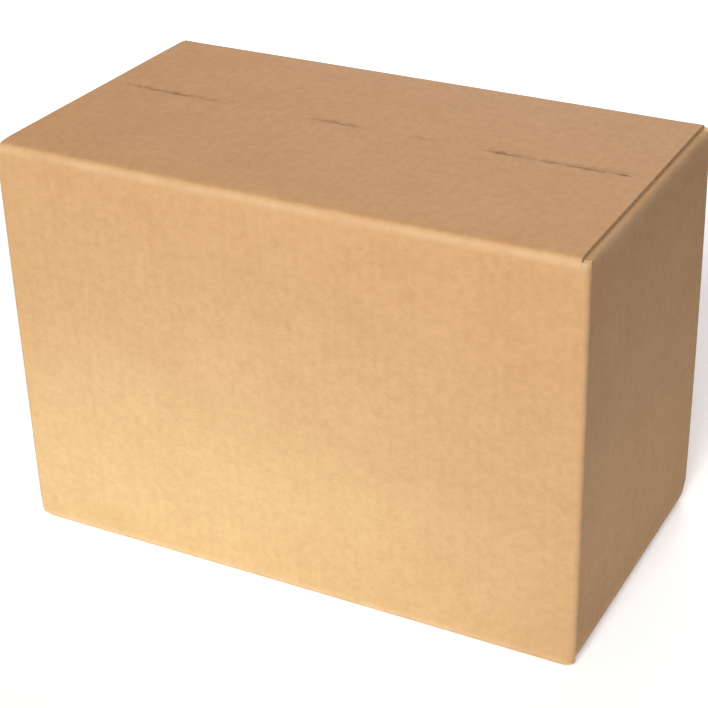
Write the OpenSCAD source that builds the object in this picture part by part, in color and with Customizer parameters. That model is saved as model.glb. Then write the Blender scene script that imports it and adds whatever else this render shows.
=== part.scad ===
// Closed shipping carton of single-wall corrugated board, folded from one sheet.
// Two outer flaps close the top and meet at a seam; they are the pieces that open.
// Length lies along X, the front wall faces -Y, and the base rests on Z = 0.

/* [Carton] */
// Outside length of the closed carton
body_l = 370; // [300:5:480]
// Outside width of the closed carton
body_w = 200; // [150:5:260]
// Outside height of the closed carton
body_h = 260; // [160:5:400]

/* [Board] */
// Thickness of the corrugated board
board_t = 4; // [2.5:0.5:6]
// Clearance between a flap's cut end and the board beside it
flap_clear = 0.5; // [0.3:0.1:1.5]
// Depth of the corner slots below the fold of the outer flaps
slot_drop = 1.5; // [0.5:0.5:3]

/* [Top flaps] */
// Distance of the top seam behind the middle of the carton
top_seam_y = 10; // [-15:1:15]
// Gap between the free edges of the outer top flaps
top_seam_gap = 0.8; // [0.4:0.1:3]
// Length of the end flaps that lie under the outer top flaps
top_end_flap_l = 100; // [60:1:140]

/* [Bottom flaps] */
// Gap between the free edges of the outer bottom flaps
bottom_seam_gap = 1.2; // [0.6:0.1:4]
// Length of the end flaps that lie on the outer bottom flaps
bottom_end_flap_l = 100; // [60:1:140]

/* [Glue tab] */
// Width of the glue tab inside the rear wall
tab_w = 35; // [20:1:50]
// How far each end of the tab slopes in towards its free edge
tab_taper = 9; // [3:1:20]
// How far the rear wall's cut edge stands in from the left end wall's face
lap_gap = 1; // [0.5:0.1:2]

/* [Hidden] */
$fn = 48;

kraft = "#d2a271";
kraft_flap = "#c99a6c";

// The board folds round its crushed inside face, so a fold is as round as the board is thick
fold_r = board_t;
// Distance from a wall's outside face to the cut end of the flap beside it
setback = board_t + flap_clear;

// Half sizes of the outside, and of the long and the end walls between their slots
half_l = body_l / 2;
half_w = body_w / 2;
half_long = half_l - setback;
half_end = half_w - setback;

// Heights of the folds: the end flaps fold one board inside the outer flaps
outer_top = body_h - board_t;
end_top = body_h - 2 * board_t;
outer_bottom = board_t;
end_bottom = 2 * board_t;
post_top = outer_top - slot_drop;
post_bottom = outer_bottom + slot_drop;
post_h = post_top - post_bottom;

// The left end wall folds into the glue tab one board in front of the rear wall's outside face
tab_fold_y = half_w - 2 * board_t;
lap_end = tab_fold_y - flap_clear;

// A box between two opposite corners
module span(low, high) {
    translate(low) cube(high - low);
}

// A quarter of a round fold's section, filling +X and +Y
module fold_section() {
    intersection() {
        circle(r = fold_r);
        square(fold_r);
    }
}

// A quarter fold that runs along +X, filling +Y and +Z
module fold_quarter(length) {
    rotate([90, 0, 90]) linear_extrude(length) fold_section();
}

// An outer flap from the wall on the -Y side to free_edge_y, its inside face on Z = 0
module outer_flap(free_edge_y) {
    span([-half_long, -half_w + board_t, 0], [half_long, free_edge_y, board_t]);
    translate([half_long, -half_w + fold_r, 0])
        rotate([0, 0, 180]) fold_quarter(2 * half_long);
}

// An end flap from the wall on the +X side, between low_y and high_y, its inside face on Z = 0
module end_flap(flap_l, low_y, high_y) {
    span([half_l - flap_l, low_y, 0], [half_l - board_t, high_y, board_t]);
    translate([half_l - fold_r, high_y, 0])
        rotate([0, 0, -90]) fold_quarter(high_y - low_y);
}

// Front wall on the -Y side with its outer bottom flap
module long_wall() {
    span([-half_long, -half_w, outer_bottom], [half_long, -half_w + board_t, outer_top]);
    translate([0, 0, outer_bottom]) mirror([0, 0, 1]) outer_flap(-bottom_seam_gap / 2);
}

// End wall on the +X side with its two end flaps, between low_y and high_y
module end_wall(low_y, high_y) {
    span([half_l - board_t, low_y, end_bottom], [half_l, high_y, end_top]);
    translate([0, 0, end_top]) end_flap(top_end_flap_l, low_y, high_y);
    translate([0, 0, end_bottom]) mirror([0, 0, 1]) end_flap(bottom_end_flap_l, low_y, high_y);
}

// Upright fold at the +X +Y corner, between the slots above and below it
module corner_post() {
    translate([half_l - board_t, half_w - board_t, post_bottom]) linear_extrude(post_h) {
        fold_section();
        translate([-flap_clear, 0]) square([flap_clear, board_t]);
        translate([0, -flap_clear]) square([board_t, flap_clear]);
    }
}

// Glue tab that lies against the inside of the rear wall
module glue_tab() {
    translate([-half_l + board_t, tab_fold_y + board_t, post_bottom])
        rotate([90, 0, 0]) linear_extrude(board_t)
            polygon([[0, 0], [tab_w, tab_taper], [tab_w, post_h - tab_taper], [0, post_h]]);
}

// Glued corner at the rear left: the end wall folds in front of the rear wall's cut edge
module lap_corner() {
    span([-half_l + lap_gap, half_w - board_t, post_bottom], [-half_long, half_w, post_top]);
    span([-half_l, lap_end, post_bottom], [-half_l + board_t, tab_fold_y, post_top]);
    translate([-half_l + fold_r, tab_fold_y, post_bottom])
        rotate([0, 0, 90]) linear_extrude(post_h) fold_section();
    glue_tab();
}

// Everything of the sheet that stays put once the bottom and the tab are glued
module carton() {
    color(kraft) {
        long_wall();
        mirror([0, 1, 0]) long_wall();
        end_wall(-half_end, half_end);
        mirror([1, 0, 0]) end_wall(-half_end, lap_end);
        corner_post();
        mirror([0, 1, 0]) corner_post();
        mirror([1, 0, 0]) mirror([0, 1, 0]) corner_post();
        lap_corner();
    }
}

// Outer flap that opens about the front wall's top edge
module front_top_flap() {
    color(kraft_flap)
        translate([0, 0, outer_top]) outer_flap(top_seam_y - top_seam_gap / 2);
}

// Outer flap that opens about the rear wall's top edge
module rear_top_flap() {
    color(kraft_flap)
        translate([0, 0, outer_top]) mirror([0, 1, 0]) outer_flap(-top_seam_y - top_seam_gap / 2);
}

carton();
front_top_flap();
rear_top_flap();
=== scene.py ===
# Closed shipping carton: one sheet of kraft corrugated board, which is cut flat and then folded up.
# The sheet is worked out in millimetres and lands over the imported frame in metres
import math
import bmesh
import bpy
from mathutils import Matrix, Vector, noise


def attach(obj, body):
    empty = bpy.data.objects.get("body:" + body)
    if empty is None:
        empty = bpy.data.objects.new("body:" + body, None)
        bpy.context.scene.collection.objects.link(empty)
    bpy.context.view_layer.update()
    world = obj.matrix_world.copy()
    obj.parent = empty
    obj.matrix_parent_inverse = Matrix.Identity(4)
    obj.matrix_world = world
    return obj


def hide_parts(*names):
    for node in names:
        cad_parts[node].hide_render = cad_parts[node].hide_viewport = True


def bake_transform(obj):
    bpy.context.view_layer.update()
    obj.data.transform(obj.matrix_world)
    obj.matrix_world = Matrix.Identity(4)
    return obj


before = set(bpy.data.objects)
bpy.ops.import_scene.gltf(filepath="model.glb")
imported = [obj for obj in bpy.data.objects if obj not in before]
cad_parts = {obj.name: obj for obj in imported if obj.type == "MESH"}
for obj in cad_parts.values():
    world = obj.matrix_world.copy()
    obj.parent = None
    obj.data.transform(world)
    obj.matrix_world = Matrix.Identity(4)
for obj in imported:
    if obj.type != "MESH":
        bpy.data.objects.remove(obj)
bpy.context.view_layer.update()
mm = 0.001

# Camera
view = {
    "eye": (0.47578, -0.86993, 0.65659),
    "azimuth": 28.895,  # degrees round from the front
    "elevation": 28.755,
    "roll": -1.759,
    "lens": 92.981,
    "sensor": 36.0,
}


def addCamera():
    data = bpy.data.cameras.new("camera")
    data.lens = view["lens"]
    data.sensor_width = view["sensor"]
    camera = bpy.data.objects.new("camera", data)
    bpy.context.collection.objects.link(camera)
    around, up, roll = (math.radians(view[k]) for k in ("azimuth", "elevation", "roll"))
    back = Vector((math.sin(around) * math.cos(up), -math.cos(around) * math.cos(up), math.sin(up)))
    level = Vector((0, 0, 1)).cross(back).normalized()
    side = level * math.cos(roll) + back.cross(level) * math.sin(roll)
    turn = Matrix((side, back.cross(side), back)).transposed()
    camera.matrix_world = Matrix.Translation(view["eye"]) @ turn.to_4x4()
    bpy.context.scene.camera = camera


addCamera()
print("camera set")


# Node helpers
def hexColor(text):
    parts = [int(text[i:i + 2], 16) / 255 for i in (1, 3, 5)]
    return [c / 12.92 if c <= 0.04045 else ((c + 0.055) / 1.055) ** 2.4 for c in parts] + [1.0]


def addNode(tree, kind, values=None, links=None, **settings):
    node = tree.nodes.new("ShaderNode" + kind)
    for name, value in settings.items():
        setattr(node, name, value)
    for socket, value in (values or {}).items():
        node.inputs[socket].default_value = value
    for socket, source in (links or {}).items():
        tree.links.new(source, node.inputs[socket])
    return node


def newMaterial(name):
    material = bpy.data.materials.new(name)
    material.use_nodes = True
    material.node_tree.nodes.clear()
    return material, material.node_tree


# Kraft linerboard: unbleached paper, pressed smooth but uncoated, so it is matt with a faint sheen
# at a low angle. Its long fibres lie across the flutes and leave short flecks, and the flutes print
# through as faint bars
liner = {
    "base": "#d1a372",
    "light": "#d9ac7b",
    "dark": "#b98a5c",
    "fleck": "#9c7048",
    "pale": "#f0d0a6",
    # pale tone of the folds: rubbing, and a painted highlight
    "wornAndLit": "#ecc89e",
    # dark tone for the dust and painted shade along the parted top seam
    "dustAndShadeDark": "#8a5f3a",
    "patterns": {  # millimetres across one patch, and the noise's detail and roughness
        "cloud": (45.0, 3.0, 0.55),
        "blotch": (12.0, 1.0, 0.5),
        "mottle": (5.5, 4.0, 0.6),
        "fibre": (1.1, 3.0, 0.6),  # real fibres are far finer; these are as fine as the render shows
    },
    "fibreLong": 0.35,  # a fibre's width as a share of its length
    "flute": 7.8,  # millimetres from one flute to the next
    "layers": [  # pattern, value where it starts, value where it is full, most that it covers, colour
        ("cloud", 0.3, 0.7, 0.6, "light"),
        ("blotch", 0.4, 0.65, 0.12, "dark"),
        ("mottle", 0.42, 0.7, 0.27, "dark"),
        ("flute", 0.4, 1.0, 0.05, "dark"),
        ("fibre", 0.56, 0.74, 0.2, "fleck"),
        ("fibre", 0.42, 0.26, 0.2, "pale"),
        ("wearAndHighlight", 0.0, 1.8, 0.81, "wornAndLit"),
        ("dustAndShade", 0.0, 1.0, 0.6, "dustAndShadeDark"),
    ],
    "dustAndShadePatches": (0.35, 0.6),  # values of the mottle between which the seam's dust and painted shade come up
    "roughness": (0.68, 0.8),
    "grain": 0.00007,  # metres of relief
    "bars": 0.00008,
}


def makeLiner():
    material, tree = newMaterial("kraftLiner")
    sheet = addNode(tree, "UVMap", uv_map="flatSheet").outputs["UV"]
    stretched = addNode(tree, "Mapping", {"Scale": (liner["fibreLong"], 1.0, 1.0)}, {"Vector": sheet})
    # paleness of the folds: rubbing, and a painted highlight
    shows = {"wearAndHighlight": addNode(tree, "Attribute", attribute_name="foldWearAndHighlight").outputs["Fac"]}
    for name, (across, detail, roughness) in liner["patterns"].items():
        pattern = addNode(tree, "TexNoise",
                          {"Scale": 1000 / across, "Detail": detail, "Roughness": roughness},
                          {"Vector": stretched.outputs[0] if name == "fibre" else sheet})
        shows[name] = pattern.outputs["Fac"]
    flute = addNode(tree, "TexWave", {"Scale": 100 * math.pi / liner["flute"]}, {"Vector": sheet},
                    wave_type="BANDS", bands_direction="X", wave_profile="SIN")
    shows["flute"] = flute.outputs["Fac"]
    # the parted top seam's edges are darkened: dust, and painted shade of the gap
    dustAndShadeDark = addNode(tree, "Attribute", attribute_name="seamDustAndShade").outputs["Fac"]
    least, most = liner["dustAndShadePatches"]
    patches = addNode(tree, "MapRange", {"From Min": least, "From Max": most}, {"Value": shows["mottle"]})
    dustAndShade = addNode(tree, "Math", links={0: dustAndShadeDark, 1: patches.outputs[0]}, operation="MULTIPLY")
    shows["dustAndShade"] = dustAndShade.outputs[0]

    color = None
    for name, low, high, most, over in liner["layers"]:
        share = addNode(tree, "MapRange", {"From Min": low, "From Max": high, "To Max": most},
                        {"Value": shows[name]})
        links = {0: share.outputs[0]}
        if color is not None:
            links[6] = color
        mixed = addNode(tree, "Mix", {6: hexColor(liner["base"]), 7: hexColor(liner[over])}, links,
                        data_type="RGBA")
        color = mixed.outputs[2]

    smoothest, roughest = liner["roughness"]
    rough = addNode(tree, "MapRange",
                    {"From Min": 0.3, "From Max": 0.7, "To Min": smoothest, "To Max": roughest},
                    {"Value": shows["fibre"]})
    grain = addNode(tree, "Bump", {"Strength": 0.8, "Distance": liner["grain"]}, {"Height": shows["fibre"]})
    bars = addNode(tree, "Bump", {"Strength": 0.5, "Distance": liner["bars"]},
                   {"Height": shows["flute"], "Normal": grain.outputs[0]})
    shader = addNode(tree, "BsdfPrincipled", {"IOR": 1.47, "Specular IOR Level": 0.4},
                     {"Base Color": color, "Roughness": rough.outputs[0], "Normal": bars.outputs[0]})
    addNode(tree, "OutputMaterial", links={"Surface": shader.outputs[0]})
    return material


# Cut edge of the liners: a knife leaves a raw paper edge, paler, rougher and duller than the face
cutEdge = {
    "color": "#efd3ad",
    "dark": "#dfc097",
    # dark tone for the dust and painted shade where the top flaps part
    "dustAndShadeDark": "#805838",
    "dustAndShadeShare": 0.7,
    "grain": 0.9,  # millimetres
    "roughness": 0.9,
}
# Fluting medium: loose recycled paper, a little darker than a cut edge and quite matt
medium = {
    "color": "#ecc79b",
    "dark": "#d6ae83",
    # dark tone for the dust and painted shade where the top flaps part
    "dustAndShadeDark": "#805838",
    "dustAndShadeShare": 0.7,
    "grain": 2.5,
    "roughness": 0.92,
}


def makeRawPaper(name, look):
    material, tree = newMaterial(name)
    place = addNode(tree, "TexCoord").outputs["Object"]
    grain = addNode(tree, "TexNoise", {"Scale": 1000 / look["grain"], "Detail": 3.0, "Roughness": 0.6},
                    {"Vector": place}).outputs["Fac"]
    spread = addNode(tree, "MapRange", {"From Min": 0.35, "From Max": 0.65}, {"Value": grain})
    clean = addNode(tree, "Mix", {6: hexColor(look["color"]), 7: hexColor(look["dark"])},
                    {0: spread.outputs[0]}, data_type="RGBA")
    # darkened where the top flaps part: dust, and painted shade of the gap
    dustAndShadeDark = addNode(tree, "Attribute", attribute_name="seamDustAndShade").outputs["Fac"]
    dustAndShade = addNode(tree, "MapRange", {"To Max": look["dustAndShadeShare"]}, {"Value": dustAndShadeDark})
    color = addNode(tree, "Mix", {7: hexColor(look["dustAndShadeDark"])}, {0: dustAndShade.outputs[0], 6: clean.outputs[2]},
                    data_type="RGBA")
    bump = addNode(tree, "Bump", {"Strength": 0.7, "Distance": 0.0001}, {"Height": grain})
    shader = addNode(tree, "BsdfPrincipled",
                     {"Roughness": look["roughness"], "IOR": 1.45, "Specular IOR Level": 0.25},
                     {"Base Color": color.outputs[2], "Normal": bump.outputs[0]})
    addNode(tree, "OutputMaterial", links={"Surface": shader.outputs[0]})
    return material


# A mesh's first finish is the skin of the sheet, its second the cut ends and its third what lies between
boardFinish = [makeLiner(), makeRawPaper("cutLinerEdge", cutEdge), makeRawPaper("flutingMedium", medium)]
cutFinish = 1
innerFinish = 2
print("materials made")

# The sheet, in millimetres: u runs round the carton, v up it, and d from the outside skin into the board
board = {
    "long": 370.0,  # the closed carton's outside
    "wide": 200.0,
    "high": 260.0,
    "thick": 4.0,  # single wall
    "liner": 0.35,
    "medium": 0.3,
    "flutePitch": liner["flute"],
    "fluteIn": 0.2,  # the medium ends this far inside the cuts
    "fluteSunk": 0.03,  # and its crests sink this far into the liners
    "middle": 130.0,  # a flap is a top flap above this, and a bottom flap below
    "slotTop": 257.2,  # the corner slots end here, and slits as fine as a knife run on to the flaps' folds
    "slotBottom": 2.6,
    "slit": 0.25,
    "endFlap": 100.0,  # length of an end flap, from its wall's face
    "seamBack": 10.0,  # how far behind the middle the top seam lies
    "topGap": 0.8,  # at the top seam, before the knife's and the folding's unevenness
    "bottomGap": 1.2,
    "endsHigher": 1.6,  # the end flaps' folds at the top stand higher than a board below the outer flaps
    "frontLower": 1.2,  # and the front flap's fold starts lower than the rear one's
    "lapGap": 1.0,  # from the rear wall's cut edge to the left end wall's face
    "tabWide": 35.0,
    "tabPlay": 0.1,  # between the glue tab and the rear wall
    "tabTop": 254.5,
    "tabBottom": 5.5,
    "tabTaper": 9.0,  # how far each end of the glue tab slopes in
    "flapCut": 0.5,  # a flap's cut end stands this far past the corner fold
    "trimReach": 30.0,  # an uneven cut fades out over this distance
    "crushed": 0.3,  # share of the thickness that an outer flap loses at its cut ends
    "crushReach": 7.0,
    "score": 0.3,  # radius left inside a fold
    "outerRests": 4.0,  # past a fold the outside skin comes level over this distance
    "innerRests": 1.5,
    "parting": 253.0,  # meshes of the opening flaps start here, just below their folds
    "edgePocket": 8.0,  # how deep the hollow between the liners goes in at a free edge
    "sidePocket": 0.1,  # and at an end cut along the flutes
    "lean": 0.45,  # a wall leans in this much over its last few millimetres, where the creaser pressed it
    "leanHigh": 5.0,
    "leanEnds": 12.0,  # and less towards the fold's ends
}
thick = board["thick"]
foldArc = thick * math.pi / 2

# Mesh of the flat sheet
cells = {
    "wide": 8.5,
    "flats": [(8, 252), (270, 360), (-90, -6)],  # lengths up the sheet that have even cells
    "cornerFold": 6,  # cells round a corner, and round a flap's fold
    "flapFold": 12,
    "bends": [0.5 * i for i in range(1, 13)],  # close together past the fold of an opening flap
    "closest": 0.02,
    "near": 0.01,  # a face whose middle is this near to a cut lies on it
    "flute": 12,  # cells to one flute
    "soft": 38,  # degrees between two faces, above which their edge is sharp
}
# Outside skin of a fold, from the wall to the flap: how far in from the wall's face, and up
foldProfile = [(0, 0), (0.16, 0.78), (0.4, 1.52), (0.76, 2.2), (1.28, 2.78), (2.1, 3.2), (4.0, 3.5)]

halfLong = board["long"] / 2
halfWide = board["wide"] / 2
topFold = board["high"] - thick
endFlap = board["endFlap"] - thick
topReach = halfWide - thick - board["topGap"] / 2
bottomReach = halfWide - thick - board["bottomGap"] / 2
longWall = {"flapWide": board["long"] - 2 * thick, "outer": True, "top": topFold, "bottom": thick,
            "bottomFlap": bottomReach}
endWall = {"outer": False, "top": topFold - thick + board["endsHigher"], "bottom": 2 * thick,
           "topFlap": endFlap, "bottomFlap": endFlap}
# Panels as they follow round the carton. start is the outside corner where a panel's u begins
panels = [
    {"name": "tab", "wide": board["tabWide"], "outer": False, "along": (-1, 0),
     "start": (thick + board["tabWide"] - halfLong, halfWide - thick - board["tabPlay"]),
     "top": topFold, "bottom": thick},
    {**endWall, "name": "leftEnd", "wide": board["wide"] - 3 * thick, "along": (0, -1),
     "start": (-halfLong, halfWide - 2 * thick), "flapWide": board["wide"] - 3 * thick},
    {**longWall, "name": "front", "wide": board["long"] - 2 * thick, "along": (1, 0),
     "start": (thick - halfLong, -halfWide), "top": topFold - board["frontLower"],
     "topFlap": topReach + board["seamBack"]},
    {**endWall, "name": "rightEnd", "wide": board["wide"] - 2 * thick, "along": (0, 1),
     "start": (halfLong, thick - halfWide), "flapWide": board["wide"] - 2 * thick},
    {**longWall, "name": "rear", "wide": board["long"] - thick - board["lapGap"], "along": (-1, 0),
     "start": (halfLong - thick, halfWide), "topFlap": topReach - board["seamBack"]},
]
reach = 0.0
for panel in panels:
    panel["u"] = reach
    reach += panel["wide"] + foldArc
    if "topFlap" in panel:
        first, last = panel["u"], panel["u"] + panel["flapWide"]
        panel["flapSpan"] = (first + board["flapCut"], last - board["flapCut"])
        panel["flapEnd"] = {
            1: panel["top"] + foldArc + panel["topFlap"],
            -1: panel["bottom"] - foldArc - panel["bottomFlap"],
        }
sheetWide = reach - foldArc
walls = panels[1:]

# How the made-up carton strays from true, in millimetres
stray = {
    "corners": {  # left or right, front or back, low or high: each corner's offset
        "LFL": (0.2, 0, 0), "RFL": (-0.6, 2.5, 0), "LBL": (0, 0, 0), "RBL": (-2.5, -0.2, 0),
        "LFH": (0, 0.25, 0), "RFH": (0, 2.0, -2.0), "LBH": (2.5, -0.15, 0), "RBH": (-2.1, -1.4, -1.5),
    },
    "bows": [  # an edge by its two sides, and how far its middle bows out
        ("LF", (-0.1, 0, 0)), ("RF", (0.2, 0, 0)), ("RB", (1.0, 0, 0)),
        ("FL", (0, 0.25, 0)), ("BH", (0, 0.6, 0)), ("FH", (0, -0.95, -0.7)),
    ],
    "dents": [  # knocked corners: place, radius, offset
        ((halfLong, -halfWide, 0), 13, (-1.4, 0.3, 0)),
        ((-halfLong, -halfWide, 0), 14, (0.7, 0.5, 0.6)),
        ((halfLong, halfWide, 0), 15, (-2.1, -0.5, 1.2)),
    ],
    "ripple": 0.35,  # slow waves in the walls
    "ripples": [(1.0, 75.0, 3.1), (0.35, 28.0, 7.7)],  # their shares and lengths, and a place in the noise
    "rippleIn": 0.6,  # the walls go in by this share of a wave, so that few waves stand out
    "rippleEdge": 30.0,  # they fade out this far from a fold
    "cuts": [(0.3, 40.0), (0.1, 4.0)],  # waves of a cut edge, and their lengths
    "sag": 1.0,  # of the top, between the end flaps
    "sagFrom": 245.0,  # what lies higher sags
    "sagSlope": 90.0,
}
# The seams, in millimetres: the top flaps meet a little askew, and part here and there. The gaps here
# don't count the walls' lean, which takes each top flap 0.45 further in, so the closed flaps overlap by
# 0.15 to 0.85 at their free edges
seam = {
    "shut": 0.07,  # gap where the flaps touch, and what it grows by where they part
    "open": 0.6,
    "patchy": 0.7,  # they part by more and by less than that, in patches of this many millimetres
    "patch": 7.0,
    "spans": [  # from and to along X, and how far they part there, up to 1
        (-168, -104, 0.8), (-104, -80, 0.4), (-54, -46, 0.5), (-37, 3, 0.85),
        (28, 53, 0.5), (76, 107, 1.0), (107, 113, 0.55), (113, 170, 0.9),
    ],
    "fade": 8,  # a span starts and ends over this distance
    "askew": (2.5, -0.9),  # how far back the seam lies at the left and at the right
    "askewFrom": 10.0,  # it crosses over from here, and over this distance
    "askewOver": 160.0,
    "uneven": 0.05,  # the gap's own small waves, and their length
    "unevenOver": 9.0,
    "crushed": 0.7,  # the front flap's edge is pressed this much lower where they part
    "rearCrushed": 0.3,  # the rear one's by this share of that
    "leastCrushed": 0.05,  # and where they touch both by this share of it
    "crushReach": 6.5,
    # the parted flaps' edges are darkened this far in: dust, and painted shade of the gap
    "dustAndShadeReach": 4.0,
    "bottom": 0.5,  # the bottom seam nearly closes: its flaps are this much longer
    "bottomUneven": 0.25,  # share of a cut's waves that is left there
}
# Folds are painted pale, for rubbing and as a painted highlight on the rounded folds: how wide in
# millimetres, how strong, and where in the fold's quarter turn
rubAndHighlight = {
    "cornerWide": 2.2,
    "corner": 0.4,
    "foldWide": 2.8,
    "foldAt": 0.2,
    "endFold": 0.75,  # the end flaps' top folds are painted paler still: a painted highlight on their lit rounded folds
    "endFoldAt": 0.7,
    "least": 0.5,  # it comes and goes between these, in patches of this many millimetres
    "most": 1.0,
    "patch": 14.0,
}


def smooth(x):
    x = min(max(x, 0.0), 1.0)
    return x * x * (3 - 2 * x)


def panelAt(u):
    for panel in panels:
        if u < panel["u"] + panel["wide"] + foldArc / 2:
            return panel
    return panels[-1]


def profileAt(turn):
    place = min(max(turn, 0.0), 1.0) * (len(foldProfile) - 1)
    step = min(int(place), len(foldProfile) - 2)
    low, high = foldProfile[step], foldProfile[step + 1]
    return [low[k] + (high[k] - low[k]) * (place - step) for k in (0, 1)]


def alongSeam(panel, u):  # X of a place on an outer flap
    return (u - panel["u"]) * panel["along"][0] + panel["start"][0]


def seamOpen(x):  # from 0 where the top flaps touch to 1 where they part most
    parted = 0.0
    for low, high, most in seam["spans"]:
        starts = smooth((x - low) / seam["fade"] + 0.5)
        ends = smooth((high - x) / seam["fade"] + 0.5)
        parted = max(parted, most * starts * ends)
    return parted * (1 + seam["patchy"] * noise.noise(Vector((x / seam["patch"], 8.8, 0))))


def trimEdge(panel, u, v):  # the knife and the folding leave free edges a little uneven
    side = 1 if v > board["middle"] else -1
    if "topFlap" not in panel:
        return v
    near = 1 - abs(panel["flapEnd"][side] - v) / board["trimReach"]
    if near <= 0:
        return v
    shift = sum(size * noise.noise(Vector((u / length, side, panel["u"])))
                for size, length in stray["cuts"])
    if side > 0 and panel["outer"]:
        x = alongSeam(panel, u)
        left, right = seam["askew"]
        askew = left + (right - left) * smooth((x - seam["askewFrom"]) / seam["askewOver"])
        uneven = seam["uneven"] * noise.noise(Vector((x / seam["unevenOver"], 4.2, 0)))
        gap = seam["shut"] + seam["open"] * seamOpen(x) + uneven
        shift = (board["topGap"] - gap) / 2 + askew * panel["along"][0]
    elif panel["outer"]:
        shift = seam["bottom"] + seam["bottomUneven"] * shift
    return v + side * shift * smooth(near)


def foldFlap(panel, u, v, d):  # returns the distance in from the wall's outside face, and the height
    score = board["score"]
    if "flapSpan" not in panel:
        return d, v
    fromEnd = min(u - panel["flapSpan"][0], panel["flapSpan"][1] - u)
    if fromEnd < -board["slit"] / 2:  # the corner itself runs straight on
        return d, v
    near = (v - panel["top"]) / board["leanHigh"] + 1
    lean = board["lean"] * min(max(near, 0), 1) ** 2 * smooth(fromEnd / board["leanEnds"])
    if panel["bottom"] <= v <= panel["top"]:
        return d + lean, v
    over = v > panel["top"]
    past = v - panel["top"] if over else panel["bottom"] - v
    turn, flat = min(past / foldArc, 1.0), max(past - foldArc, 0.0)
    settle = 0.0
    if over and panel["outer"]:  # the end flap's fold presses into the outer flap that lies on it
        d *= 1 - board["crushed"] * smooth(turn) * smooth(1 - fromEnd / board["crushReach"])
        settle = (panel["top"] - topFold) * turn
    elif over:
        settle = (panel["top"] + thick - topFold) * smooth(flat / (board["crushReach"] + board["flapCut"]))
    outer = 1 - d / thick
    skin = profileAt(turn)
    inward = skin[0] * outer + (thick - score * math.cos(turn * math.pi / 2)) * (1 - outer) + flat
    if turn < 1:
        rise = skin[1] * outer + score * math.sin(turn * math.pi / 2) * (1 - outer)
    else:
        rise = (thick - (thick - foldProfile[-1][1]) * math.exp(-flat / board["outerRests"])) * outer
        rise += score * math.exp(-flat / board["innerRests"]) * (1 - outer)
    rise -= settle
    return inward + lean, (panel["top"] + rise if over else panel["bottom"] - rise)


def foldCorner(panel, u, inward, z):  # returns the place in the carton's own millimetres
    along = Vector((*panel["along"], 0))
    into = Vector((-along.y, along.x, 0))
    s = u - panel["u"]
    past = max(s - panel["wide"], 0.0) + min(s, 0.0)
    if panel is panels[0]:
        past = max(past, 0.0)
    if panel is panels[-1]:
        past = min(past, 0.0)
    turn = past / foldArc * math.pi / 2
    foot = Vector((*panel["start"], z)) + along * min(max(s, 0.0), panel["wide"]) + into * thick
    out = along * math.sin(turn) - into * math.cos(turn)
    return foot + out * (thick - inward if past == 0 else max(thick - inward, board["score"]))


def ripple(panel, u, v):  # how far in a wave takes the wall
    s = u - panel["u"]
    inside = min(s, panel["wide"] - s, v - panel["bottom"], panel["top"] - v)
    edge = smooth(inside / stray["rippleEdge"])
    if panel is panels[0] or edge <= 0:
        return 0.0
    wave = sum(share * noise.noise(Vector((u / length, v / length, place)))
               for share, length, place in stray["ripples"])
    return (wave + stray["rippleIn"]) * stray["ripple"] * edge


def drift(place):  # the whole carton's skew, knocks and sag
    x, y, z = place
    share = {"L": 0.5 - x / board["long"], "R": 0.5 + x / board["long"],
             "F": 0.5 - y / board["wide"], "B": 0.5 + y / board["wide"]}
    level = {"L": 1 - z / board["high"], "H": z / board["high"]}
    moved = place.copy()
    for (across, deep, height), offset in stray["corners"].items():
        moved += Vector(offset) * (share[across] * share[deep] * level[height])
    for (first, second), offset in stray["bows"]:
        if first in "LR":  # an upright edge
            amount = share[first] * share[second] * 4 * level["H"] * level["L"]
        else:
            amount = share[first] * level[second] * 4 * share["L"] * share["R"]
        moved += Vector(offset) * amount
    for corner, radius, offset in stray["dents"]:
        moved += Vector(offset) * smooth(1 - (place - Vector(corner)).length / radius)
    if z > stray["sagFrom"]:
        inX = max(1 - (x / (halfLong - thick)) ** 2, 0)
        inY = min(max((halfWide - thick - abs(y)) / stray["sagSlope"], 0), 1) ** 0.8
        moved.z -= stray["sag"] * inX * inY
    return moved


def foldSheet(u, v, d):  # takes a place on the flat sheet to its place on the carton, in metres
    panel = panelAt(u)
    inward, z = foldFlap(panel, u, trimEdge(panel, u, v), d)
    place = foldCorner(panel, u, inward + ripple(panel, u, v), z)
    if v > board["middle"] and panel["outer"]:
        edge = smooth(1 - (panel["flapEnd"][1] - v) / seam["crushReach"]) * (1 - d / thick)
        share = 1.0 if panel["name"] == "front" else seam["rearCrushed"]
        least = seam["leastCrushed"]
        place.z -= seam["crushed"] * share * edge * (least + (1 - least) * seamOpen(place.x))
    return drift(place) * mm


def inSheet(u, v):
    panel = panelAt(u)
    inWall = board["slotBottom"] < v < board["slotTop"]
    if "flapSpan" not in panel:
        return inWall
    fromEnd = min(u - panel["flapSpan"][0], panel["flapSpan"][1] - u)
    if fromEnd > 0:
        return panel["flapEnd"][-1] < v < panel["flapEnd"][1]
    return inWall and (fromEnd < -board["slit"] or panel["bottom"] < v < panel["top"])


def spaced(low, high, step):
    count = max(round((high - low) / step), 1)
    return [low + (high - low) * i / count for i in range(count + 1)]


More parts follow.
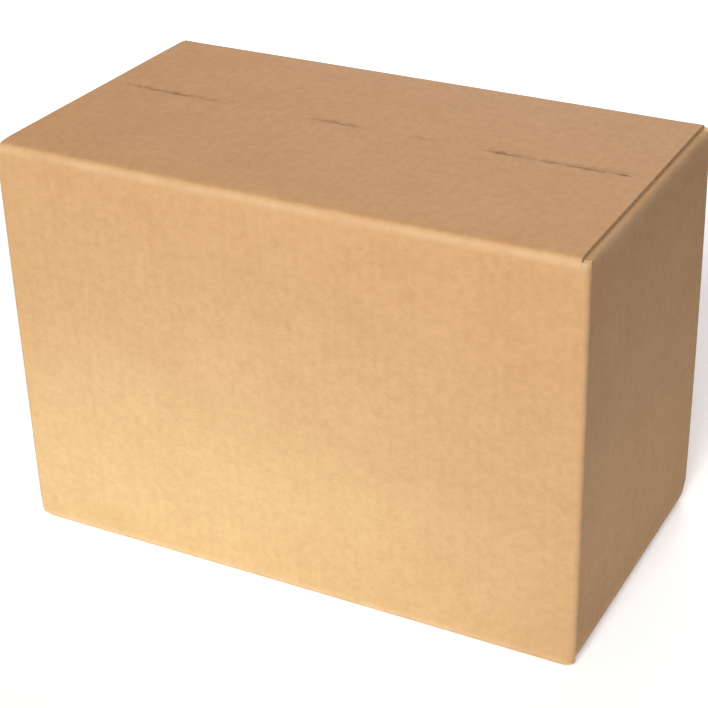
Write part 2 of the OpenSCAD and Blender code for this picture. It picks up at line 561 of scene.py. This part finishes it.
def cutLines():  # where the sheet's mesh is divided: round the carton, and up it
    around, up = [], [board["slotTop"], board["slotBottom"], board["parting"]]
    for panel in panels:
        last = panel["u"] + panel["wide"]
        around += spaced(panel["u"], last, cells["wide"])
        around += spaced(last, last + foldArc, foldArc / cells["cornerFold"])
    for panel in walls:
        for u, way in zip(panel["flapSpan"], (1, -1)):
            around += [u, u - way * board["slit"]]
            around += [u + way * board["crushReach"] * i / 4 for i in (1, 2, 3, 4)]
        for side, fold in ((1, panel["top"]), (-1, panel["bottom"])):
            up += [fold + side * foldArc * i / cells["flapFold"] for i in range(cells["flapFold"] + 1)]
            up += [panel["flapEnd"][side] - side * seam["crushReach"] * i / 5 for i in range(6)]
    up += [topFold + foldArc + bend for bend in cells["bends"]]
    for low, high in cells["flats"]:
        up += spaced(low, high, cells["wide"])
    lines = []
    for values in (around, up):
        kept = []
        for value in sorted(values):
            if not kept or value - kept[-1] > cells["closest"]:
                kept.append(value)
        lines.append(kept)
    return lines


def makeBlank():
    bm = bmesh.new()
    low = min(p["flapEnd"][-1] for p in walls)
    high = max(p["flapEnd"][1] for p in walls)
    bmesh.ops.create_grid(bm, x_segments=1, y_segments=1, size=0.5)
    bmesh.ops.scale(bm, verts=bm.verts, vec=(sheetWide, high - low, 1))
    bmesh.ops.translate(bm, verts=bm.verts, vec=(sheetWide / 2, (high + low) / 2, 0))
    for axis, values in zip(((1, 0, 0), (0, 1, 0)), cutLines()):
        for value in values:
            bmesh.ops.bisect_plane(bm, geom=bm.verts[:] + bm.edges[:] + bm.faces[:], dist=0.001,
                                   plane_co=Vector(axis) * value, plane_no=axis)
    waste = [f for f in bm.faces if not inSheet(*f.calc_center_median().xy)]
    bmesh.ops.delete(bm, geom=waste, context="FACES")
    tabWide, taper = panels[0]["wide"], board["tabTaper"]
    for side, level in ((1, board["tabTop"]), (-1, board["tabBottom"])):  # the glue tab's ends slope
        tab = [f for f in bm.faces if f.calc_center_median().x < tabWide]
        near = list({v for f in tab for v in f.verts}) + list({e for f in tab for e in f.edges}) + tab
        bmesh.ops.bisect_plane(bm, geom=near, dist=0.001, plane_co=(tabWide, level, 0),
                               plane_no=(-taper, tabWide * side, 0), clear_outer=True)
    return bm


def pieceOf(face):
    u, v = face.calc_center_median().xy
    panel = panelAt(u)
    return panel["name"] if v > board["parting"] and panel["outer"] else "carton"


def hollowOut(bm, rim, inwards):  # opens the space between the liners behind a strip of rim faces
    if not rim:
        return
    bmesh.ops.inset_region(bm, faces=rim, thickness=board["liner"], use_even_offset=True, use_boundary=True)
    grown = bmesh.ops.extrude_face_region(bm, geom=rim)["geom"]
    moved = [g for g in grown if isinstance(g, bmesh.types.BMVert)]
    bmesh.ops.translate(bm, verts=moved, vec=inwards)
    bmesh.ops.delete(bm, geom=rim, context="FACES")
    for face in {f for v in moved for f in v.link_faces}:
        face.material_index = innerFinish


def addFlutes(bm, panel, side):  # the wavy medium that shows between the liners at a free edge
    low, high = (u + board["fluteIn"] * way for u, way in zip(panel["flapSpan"], (1, -1)))
    steps = round((high - low) / board["flutePitch"] * cells["flute"])
    made = bmesh.ops.create_grid(bm, x_segments=steps, y_segments=1, size=0.5)["verts"]
    bmesh.ops.scale(bm, verts=made, vec=(high - low, board["edgePocket"] - board["fluteIn"], 1))
    end = panel["flapEnd"][side] - side * (board["edgePocket"] / 2 + board["fluteIn"])
    level = -thick / 2 + board["medium"] / 2
    bmesh.ops.translate(bm, verts=made, vec=((low + high) / 2, end, level))
    height = thick / 2 - board["liner"] - board["medium"] / 2 + board["fluteSunk"]
    for vert in made:
        vert.co.z += height * math.sin(2 * math.pi * vert.co.x / board["flutePitch"])
    faces = list({f for v in made for f in v.link_faces})
    grown = bmesh.ops.solidify(bm, geom=faces, thickness=board["medium"])
    for face in faces + [g for g in grown["geom"] if isinstance(g, bmesh.types.BMFace)]:
        face.material_index = innerFinish


def openEdges(bm, name):  # at the free edges and cut ends of a piece's flaps the board shows its inside
    rims = [f for f in bm.faces if abs(f.normal.z) < 0.5]
    for face in rims:
        face.material_index = cutFinish
    flaps = []
    for panel in walls:
        for side in (1, -1):
            opens = panel["outer"] and side > 0
            if name == (panel["name"] if opens else "carton"):
                flaps.append((panel, side))
    for panel, side in flaps:
        end = panel["flapEnd"][side]
        fold = panel["top"] if side > 0 else panel["bottom"]
        strip = [f for f in rims if f.is_valid and abs(f.calc_center_median().y - end) < cells["near"]
                 and panel["flapSpan"][0] < f.calc_center_median().x < panel["flapSpan"][1]]
        hollowOut(bm, strip, (0, -side * board["edgePocket"], 0))
        for u, way in zip(panel["flapSpan"], (1, -1)):
            strip = [f for f in rims if f.is_valid and abs(f.calc_center_median().x - u) < cells["near"]
                     and foldArc < (f.calc_center_median().y - fold) * side
                     and (end - f.calc_center_median().y) * side > 0]
            hollowOut(bm, strip, (way * board["sidePocket"], 0, 0))
    for panel, side in flaps:
        addFlutes(bm, panel, side)


def paleFalloff(away, wide):
    return math.exp(-(away / wide) ** 2)


def wearAndHighlightAt(u, v):  # folds are painted paler, for rubbing and as a painted highlight, and the end flaps' top folds most
    panel = panelAt(u)
    s = u - panel["u"]
    corner = min(abs(s + foldArc / 2), abs(s - panel["wide"] - foldArc / 2))
    into = foldArc * rubAndHighlight["foldAt"]
    fold = min(abs(v - panel["top"] - into), abs(v - panel["bottom"] + into))
    middle, swing = (rubAndHighlight["least"] + rubAndHighlight["most"]) / 2, rubAndHighlight["most"] - rubAndHighlight["least"]
    patchy = middle + swing * noise.noise(Vector((u / rubAndHighlight["patch"], v / rubAndHighlight["patch"], 1.3)))
    corners = rubAndHighlight["corner"] * paleFalloff(corner, rubAndHighlight["cornerWide"])
    wearAndHighlight = min(patchy * max(corners, paleFalloff(fold, rubAndHighlight["foldWide"])), 1)
    if v > board["middle"] and "flapSpan" in panel and not panel["outer"]:
        endFold = v - panel["top"] - foldArc * rubAndHighlight["endFoldAt"]
        wearAndHighlight += rubAndHighlight["endFold"] * patchy * paleFalloff(endFold, rubAndHighlight["foldWide"])
    return wearAndHighlight


def dustAndShadeAt(u, v):  # where the top flaps part, their edges are darkened: some dust, and painted shade of the gap between them
    panel = panelAt(u)
    if v < board["parting"] or not panel["outer"]:
        return 0.0
    return seamOpen(alongSeam(panel, u)) * smooth(1 - (panel["flapEnd"][1] - v) / seam["dustAndShadeReach"])


def foldUp(bm):  # the map, the wear with its painted highlight, and the seam's dust and painted shade are set on the flat sheet, and then it is folded
    sheetMap = bm.loops.layers.uv.new("flatSheet")
    wearAndHighlight = bm.verts.layers.float.new("foldWearAndHighlight")
    dustAndShade = bm.verts.layers.float.new("seamDustAndShade")
    for face in bm.faces:
        face.smooth = True
        for loop in face.loops:
            loop[sheetMap].uv = loop.vert.co.xy * mm
    for vert in bm.verts:
        u, v, w = vert.co
        # rubbing and painted highlight on the folds
        vert[wearAndHighlight] = wearAndHighlightAt(u, v) if w > -0.5 else 0.0
        # dust and painted shade along the parted top seam
        vert[dustAndShade] = dustAndShadeAt(u, v)
        vert.co = foldSheet(u, v, -w)
    for edge in bm.edges:
        edge.smooth = len(edge.link_faces) == 2 and edge.calc_face_angle(0) < math.radians(cells["soft"])


def makePiece(blank, name, pieceName):
    bm = blank.copy()
    bmesh.ops.delete(bm, geom=[f for f in bm.faces if pieceOf(f) != name], context="FACES")
    grown = bmesh.ops.extrude_face_region(bm, geom=bm.faces[:])["geom"]
    inside = [g for g in grown if isinstance(g, bmesh.types.BMVert)]
    bmesh.ops.translate(bm, verts=inside, vec=(0, 0, -thick))
    bmesh.ops.recalc_face_normals(bm, faces=bm.faces)
    bm.normal_update()
    openEdges(bm, name)
    foldUp(bm)
    mesh = bpy.data.meshes.new(pieceName)
    bm.to_mesh(mesh)
    bm.free()
    for material in boardFinish:
        mesh.materials.append(material)
    piece = bpy.data.objects.new(pieceName, mesh)
    bpy.context.collection.objects.link(piece)
    print(pieceName, len(mesh.polygons), "faces")
    return piece


blank = makeBlank()
print("sheet cut,", len(blank.faces), "faces")
cartonBoard = makePiece(blank, "carton", "cartonBoard")
frontFlapBoard = makePiece(blank, "front", "frontFlapBoard")
rearFlapBoard = makePiece(blank, "rear", "rearFlapBoard")
blank.free()

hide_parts("carton")
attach(cartonBoard, "carton")
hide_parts("front_top_flap")
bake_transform(frontFlapBoard)
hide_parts("rear_top_flap")
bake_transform(rearFlapBoard)
print("carton folded")

# Floor and light
studio = {
    "floor": "#e6e7ed",
    "floorSize": 8.0,  # from its middle to its sides
    "floorDrop": 0.0002,  # it lies this far under the carton
    "seenWhite": {"near": 0.5, "far": 1.3, "lowest": 0.35},  # metres, and the glow that the camera sees
    "world": (0.94, 0.98, 1.0),
    "worldStrength": 0.06,
    "lamps": [  # name, place, aims at, width, depth, watts, colour
        ("keySoftbox", (0.6, -4.2, 2.9), (0, 0, 0.12), 1.8, 1.8, 220.0, (1.0, 0.985, 0.955)),
        ("rearSoftbox", (-0.7, 2.2, 1.3), (0, 0, 0.15), 1.4, 1.4, 31.0, (1.0, 0.91, 0.90)),
        ("topSoftbox", (0.02, -0.26, 0.8), (0, 0, 0.26), 0.3, 0.3, 0.4, (1.0, 0.66, 0.42)),
        # two cards on the floor, which throw light back at the walls
        ("frontCard", (-0.09, -0.25, 0.008), (-0.08, -0.1, 0.0), 0.5, 0.08, 0.41, (0.60, 0.97, 1.0)),
        ("sideCard", (0.41, -0.03, 0.012), (0.185, -0.02, 0.012), 0.3, 0.15, 0.195, (0.8, 0.87, 1.0)),
    ],
}


# Painted studio floor, quite matt. The camera sees it glow towards white, most of all far away, and it
# keeps the carton's shadow
def makeFloorPaint():
    material, tree = newMaterial("paleFloor")
    glow = studio["seenWhite"]
    seen = addNode(tree, "LightPath").outputs["Is Camera Ray"]
    plain = addNode(tree, "BsdfDiffuse", {"Color": hexColor(studio["floor"])})
    white = addNode(tree, "BsdfDiffuse", {"Color": (1, 1, 1, 1)})
    place = addNode(tree, "TexCoord").outputs["Object"]
    away = addNode(tree, "VectorMath", links={0: place}, operation="LENGTH").outputs["Value"]
    far = addNode(tree, "MapRange",
                  {"From Min": glow["near"], "From Max": glow["far"], "To Min": glow["lowest"]},
                  {"Value": away})
    lift = addNode(tree, "Emission", links={"Strength": far.outputs[0]})
    bright = addNode(tree, "AddShader", links={0: white.outputs[0], 1: lift.outputs[0]})
    both = addNode(tree, "MixShader", links={0: seen, 1: plain.outputs[0], 2: bright.outputs[0]})
    addNode(tree, "OutputMaterial", links={"Surface": both.outputs[0]})
    return material


def addFloor():
    bm = bmesh.new()
    bmesh.ops.create_grid(bm, x_segments=1, y_segments=1, size=studio["floorSize"])
    bmesh.ops.translate(bm, verts=bm.verts, vec=(0, 0, -studio["floorDrop"]))
    mesh = bpy.data.meshes.new("floor")
    bm.to_mesh(mesh)
    bm.free()
    mesh.materials.append(makeFloorPaint())
    floor = bpy.data.objects.new("floor", mesh)
    bpy.context.collection.objects.link(floor)


def addLamps():
    for name, place, aim, wide, deep, watts, color in studio["lamps"]:
        lamp = bpy.data.lights.new(name, "AREA")
        lamp.shape = "ELLIPSE"
        lamp.size = wide
        lamp.size_y = deep
        lamp.energy = watts
        lamp.color = color
        shown = bpy.data.objects.new(name, lamp)
        shown.visible_camera = False
        bpy.context.collection.objects.link(shown)
        way = Vector(place) - Vector(aim)
        shown.matrix_world = Matrix.Translation(place) @ way.to_track_quat("Z", "Y").to_matrix().to_4x4()


def addWorld():  # white to the camera, and a little light for the carton
    world = bpy.data.worlds.new("studio")
    world.use_nodes = True
    tree = world.node_tree
    tree.nodes.clear()
    seen = addNode(tree, "LightPath").outputs["Is Camera Ray"]
    around = addNode(tree, "Background",
                     {"Color": (*studio["world"], 1), "Strength": studio["worldStrength"]})
    white = addNode(tree, "Background", {"Color": (1, 1, 1, 1), "Strength": 1.0})
    both = addNode(tree, "MixShader", links={0: seen, 1: around.outputs[0], 2: white.outputs[0]})
    addNode(tree, "OutputWorld", links={"Surface": both.outputs[0]})
    bpy.context.scene.world = world


addFloor()
addLamps()
addWorld()
bpy.context.scene.view_settings.view_transform = "Standard"
print("floor and light set")
